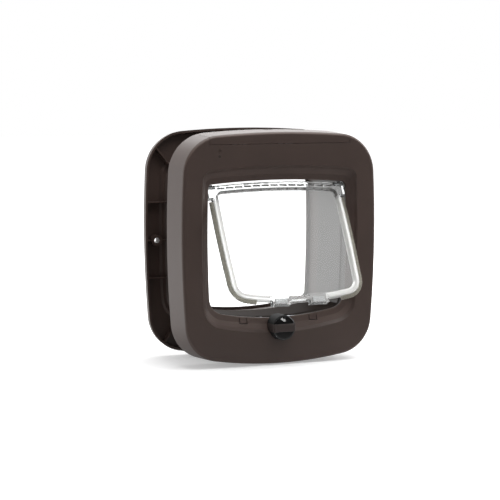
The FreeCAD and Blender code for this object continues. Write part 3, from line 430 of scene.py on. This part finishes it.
def pointer(ink):
    """A thin film of ink on the knob's face."""
    mesh = bmesh.new()
    face = mesh.faces.new([mesh.verts.new((x * MM, 0, z * MM)) for x, z in POINTER_MM])
    raised = bmesh.ops.extrude_face_region(mesh, geom=[face])["geom"]
    top = [part for part in raised if isinstance(part, bmesh.types.BMVert)]
    bmesh.ops.translate(mesh, vec=(0, -PRINT_THICK, 0), verts=top)
    bmesh.ops.recalc_face_normals(mesh, faces=mesh.faces)
    mesh.transform(Matrix.Translation(KNOB_FACE))
    piece = as_piece(mesh, "knob_pointer", ink)
    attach(piece, "lock")


dress(knob_plastic(), "lock_knob")
pointer(moulded("white_pad_print", "D8D8D6", 0.5, 0.4, 0.002))


# Lock spindle and latch yoke
# The spindle turns with the knob and carries the two lobes that stop the flap; the yoke slides up
# behind the sill. Black acetal, moulded and left as it comes: dull and slightly waxy.

black_acetal = moulded("black_acetal", "1B1A1A", 0.36, 1.0, 0.004)
dress(black_acetal, "lock_spindle", "latch_yoke")


# Latch solenoid
# A folded steel yoke round a coil of enamelled wire under tape, fixed behind the sill. The steel is
# plated, which leaves it grey and rather dull.

plated_yoke = metal("plated_solenoid_steel", "A9A9AA", 0.36, 1.0)
dress(plated_yoke, "latch_solenoid")


# Battery cells and contacts
# Four AA cells in plain printed sleeves, light near one end and dark along the rest, with bare tin
# at both ends. The contacts are nickel plated spring steel, bright and slightly warm.

TIN, SLEEVE_LIGHT, SLEEVE_DARK = "C9CACB", "B9BBBE", "2B2C2E"
# where each band starts, as a share of the cell's length
LIGHT_START, DARK_START, TIN_START = 0.03, 0.3, 0.955
SLEEVE_ROUGH = {"To Min": 0.22, "To Max": 0.34}


def cell_sleeve():
    made, tree = new_material("battery_sleeve")
    place = add(tree, "TexCoord").outputs["Generated"]
    length = add(tree, "SeparateXYZ", {"Vector": place}).outputs["X"]
    band = add(tree, "ValToRGB", {"Fac": length}, stops=(
        (0, linear(TIN)), (LIGHT_START, linear(SLEEVE_LIGHT)),
        (DARK_START, linear(SLEEVE_DARK)), (TIN_START, linear(TIN))))
    band.color_ramp.interpolation = "CONSTANT"
    wobble = add(tree, "TexNoise", {"Vector": place, "Scale": 18.0, "Detail": 2.0})
    rough = add(tree, "MapRange", {"Value": wobble, **SLEEVE_ROUGH})
    shader = add(tree, "BsdfPrincipled", {"Base Color": band, "Roughness": rough, "Metallic": 0.6})
    add(tree, "OutputMaterial", {"Surface": shader})
    return made


dress(cell_sleeve(), *["battery_cell_%d" % i for i in range(1, 5)])
spring_nickel = metal("nickel_plated_spring", "C8C6BE", 0.2, 0.5)
dress(spring_nickel, "battery_contacts")


# Circuit board
# Glass-filled epoxy under green solder resist, held on the chassis under the shell. The resist lies
# glossy over the copper tracks, which show through it as a lighter green.

TRACK_STEP, TRACK_RELIEF = 6 * MM, 0.03 * MM


def solder_resist():
    made, tree = new_material("green_solder_resist")
    place = add(tree, "TexCoord").outputs["Object"]
    flat = add(tree, "Mapping", {"Vector": place, "Rotation": (math.pi / 2, 0, 0)})
    tracks = add(tree, "TexBrick", {
        "Vector": flat, "Scale": 1 / TRACK_STEP, "Mortar Size": 0.06, "Brick Width": 1.4,
        "Row Height": 0.35, "Color1": linear("0E4A2A"), "Color2": linear("125633"),
        "Mortar": linear("2A7A4A")})
    bump = add(tree, "Bump", {
        "Height": tracks.outputs["Fac"], "Distance": TRACK_RELIEF, "Strength": 0.5})
    shader = add(tree, "BsdfPrincipled", {"Base Color": tracks, "Roughness": 0.3, "Normal": bump})
    add(tree, "OutputMaterial", {"Surface": shader})
    return made


dress(solder_resist(), "circuit_board")


# Lamp lens and programming button
# A light guide of smoked acrylic, pressed into its hole in the top band: nearly the shell's tone,
# and glossy. The small button near it is ABS in the shell's own brown, a little smoother.

smoked = moulded("smoked_acrylic", "433B37", 0.12, 2.0, 0.001)
dress(smoked, "led_lens")
button_brown = moulded("button_brown_abs", BROWN, 0.4, 0.6, 0.003)
dress(button_brown, "learn_button")


# Reader coil
# Enamelled copper wire, wound side by side round the tunnel and varnished. It shines a warm copper
# with a fine rib for each turn.

WIRE, WIRE_RELIEF = 0.2 * MM, 0.05 * MM


def winding():
    made, tree = new_material("enamelled_copper_winding")
    place = add(tree, "TexCoord").outputs["Object"]
    across = add(tree, "SeparateXYZ", {"Vector": place}).outputs["Y"]
    turns = add(tree, "Math", {0: across, 1: 2 * math.pi / WIRE}, operation="MULTIPLY")
    wave = add(tree, "Math", {0: turns}, operation="SINE")
    bump = add(tree, "Bump", {"Height": wave, "Distance": WIRE_RELIEF, "Strength": 0.8})
    shader = add(tree, "BsdfPrincipled", {
        "Base Color": linear("9C5230"), "Roughness": 0.3, "Metallic": 1.0, "Normal": bump})
    add(tree, "OutputMaterial", {"Surface": shader})
    return made


dress(winding(), "reader_coil")


# Studio
# A white floor and white surroundings, a large soft light overhead, smaller ones behind and at both
# sides, and a camera at the photograph's angle. What the part mirrors is lighter behind it than in
# front, as in a room with a white backdrop.

scene = bpy.context.scene
scene.view_settings.view_transform = "Standard"
FLOOR_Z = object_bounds()[0].z
FLOOR_SIZE, FLOOR_CELLS, FLOOR_WHITE = 6.0, 8, "E6E6E6"
FLOOR_MIDDLE = (0.0, 0.02, FLOOR_Z)
FLOOR_BOUNCE = 0.6
# the card's glow by the distance from the part, and its mirrored glow and tone from front to back
CARD_GLOW = {"From Min": 0.12, "From Max": 0.6, "To Min": 0.35, "To Max": 1.0}
CARD_GLOW_MIRRORED = {"From Min": -0.3, "From Max": 0.5, "To Min": 0.05, "To Max": 0.8}
CARD_TONE_MIRRORED = {"From Min": -0.3, "From Max": 0.3, "To Min": 0.05, "To Max": 1.0}
# the room's own light, and its brightness as mirrored and as seen through the flap, by direction
ROOM_LEVEL = 0.35
ROOM_MIRRORED = {"From Min": -0.5, "From Max": 0.7, "To Min": 0.1, "To Max": 1.3}
ROOM_THROUGH = {"From Min": 0.45, "From Max": 0.85, "To Min": 0.2, "To Max": 1.0}


def level_by_ray(tree, room, mirrored, through, direct):
    """Strength for light that falls on the part, is mirrored, comes through the flap or is seen."""
    path = add(tree, "LightPath")
    level = room
    for ray, own in (("Glossy", mirrored), ("Transmission", through), ("Camera", direct)):
        level = add(tree, "Mix", {"Factor": path.outputs["Is %s Ray" % ray], "A": level, "B": own})
    return level


def floor_card():
    made, tree = new_material("white_floor_card")
    place = add(tree, "TexCoord").outputs["Object"]
    far = add(tree, "VectorMath", {0: place, 1: FLOOR_MIDDLE}, operation="DISTANCE").outputs["Value"]
    depth = add(tree, "SeparateXYZ", {"Vector": place}).outputs["Y"]
    glow = add(tree, "MapRange", {"Value": far, **CARD_GLOW})
    glow_mirrored = add(tree, "MapRange", {"Value": depth, **CARD_GLOW_MIRRORED})
    light = add(tree, "Emission", {
        "Color": linear("FFFFFF"), "Strength": level_by_ray(tree, 0.0, glow_mirrored, glow, glow)})
    tone_mirrored = add(tree, "MapRange", {"Value": depth, **CARD_TONE_MIRRORED})
    path = add(tree, "LightPath")
    share = add(tree, "Mix", {"Factor": path.outputs["Is Diffuse Ray"], "A": 1.0, "B": FLOOR_BOUNCE})
    share = add(tree, "Mix", {"Factor": path.outputs["Is Glossy Ray"], "A": share, "B": tone_mirrored})
    tone = add(tree, "VectorMath", {0: linear(FLOOR_WHITE)[:3], "Scale": share}, operation="SCALE")
    card = add(tree, "BsdfDiffuse", {"Color": tone})
    add(tree, "OutputMaterial", {"Surface": add(tree, "AddShader", {0: light, 1: card})})
    return made


mesh = bmesh.new()
bmesh.ops.create_grid(mesh, x_segments=FLOOR_CELLS, y_segments=FLOOR_CELLS, size=FLOOR_SIZE)
mesh.transform(Matrix.Translation((0, 0, FLOOR_Z)))
as_piece(mesh, "floor", floor_card())

world = bpy.data.worlds.new("studio")
scene.world = world
world.use_nodes = True
sky = world.node_tree
sky.nodes.clear()
depth = add(sky, "SeparateXYZ", {"Vector": add(sky, "TexCoord").outputs["Generated"]}).outputs["Y"]
mirrored = add(sky, "MapRange", {"Value": depth, **ROOM_MIRRORED})
along = add(sky, "Math", {0: depth}, operation="ABSOLUTE")
through = add(sky, "MapRange", {"Value": along, **ROOM_THROUGH})
strength = level_by_ray(sky, ROOM_LEVEL, mirrored, through, 1.0)
background = add(sky, "Background", {"Color": linear("FFFFFF"), "Strength": strength})
add(sky, "OutputWorld", {"Surface": background})


def lamp(name, place, target, size, radiance):
    """A rectangular soft light of a given radiance."""
    data = bpy.data.lights.new(name, "AREA")
    data.shape = "RECTANGLE"
    data.size, data.size_y = size
    data.energy = radiance * math.pi * size[0] * size[1]
    made = bpy.data.objects.new(name, data)
    scene.collection.objects.link(made)
    made.location = place
    made.rotation_euler = (Vector(target) - Vector(place)).to_track_quat("-Z", "Y").to_euler()
    made.visible_camera = False
    made.visible_transmission = False


lamp("overhead_softbox", (0.25, -0.35, 1.35), (0.25, -0.35, 0), (1.6, 2.0), 3.0)
lamp("back_softbox", (0.5, 1.2, 0.75), (0, 0, 0), (1.4, 0.8), 2.0)
lamp("left_softbox", (-1.3, 0.35, 0.3), (0, 0, 0), (0.8, 0.9), 1.8)
lamp("right_softbox", (1.3, -0.1, 0.5), (0, 0, 0), (0.8, 0.9), 4.2)

VIEW_BACK = Vector((-0.4092, -0.9074, 0.0953))
VIEW_TARGET = Vector((-34.3, -36.95, -4.0)) * MM
VIEW_DISTANCE = 1940.9 * MM
SENSOR_MM, LENS_MM = 36.0, 139.1
camera_data = bpy.data.cameras.new("camera")
camera_data.sensor_width, camera_data.lens = SENSOR_MM, LENS_MM
camera = bpy.data.objects.new("camera", camera_data)
scene.collection.objects.link(camera)
camera.location = VIEW_TARGET + VIEW_BACK.normalized() * VIEW_DISTANCE
camera.rotation_euler = (-VIEW_BACK).to_track_quat("-Z", "Y").to_euler()
scene.camera = camera
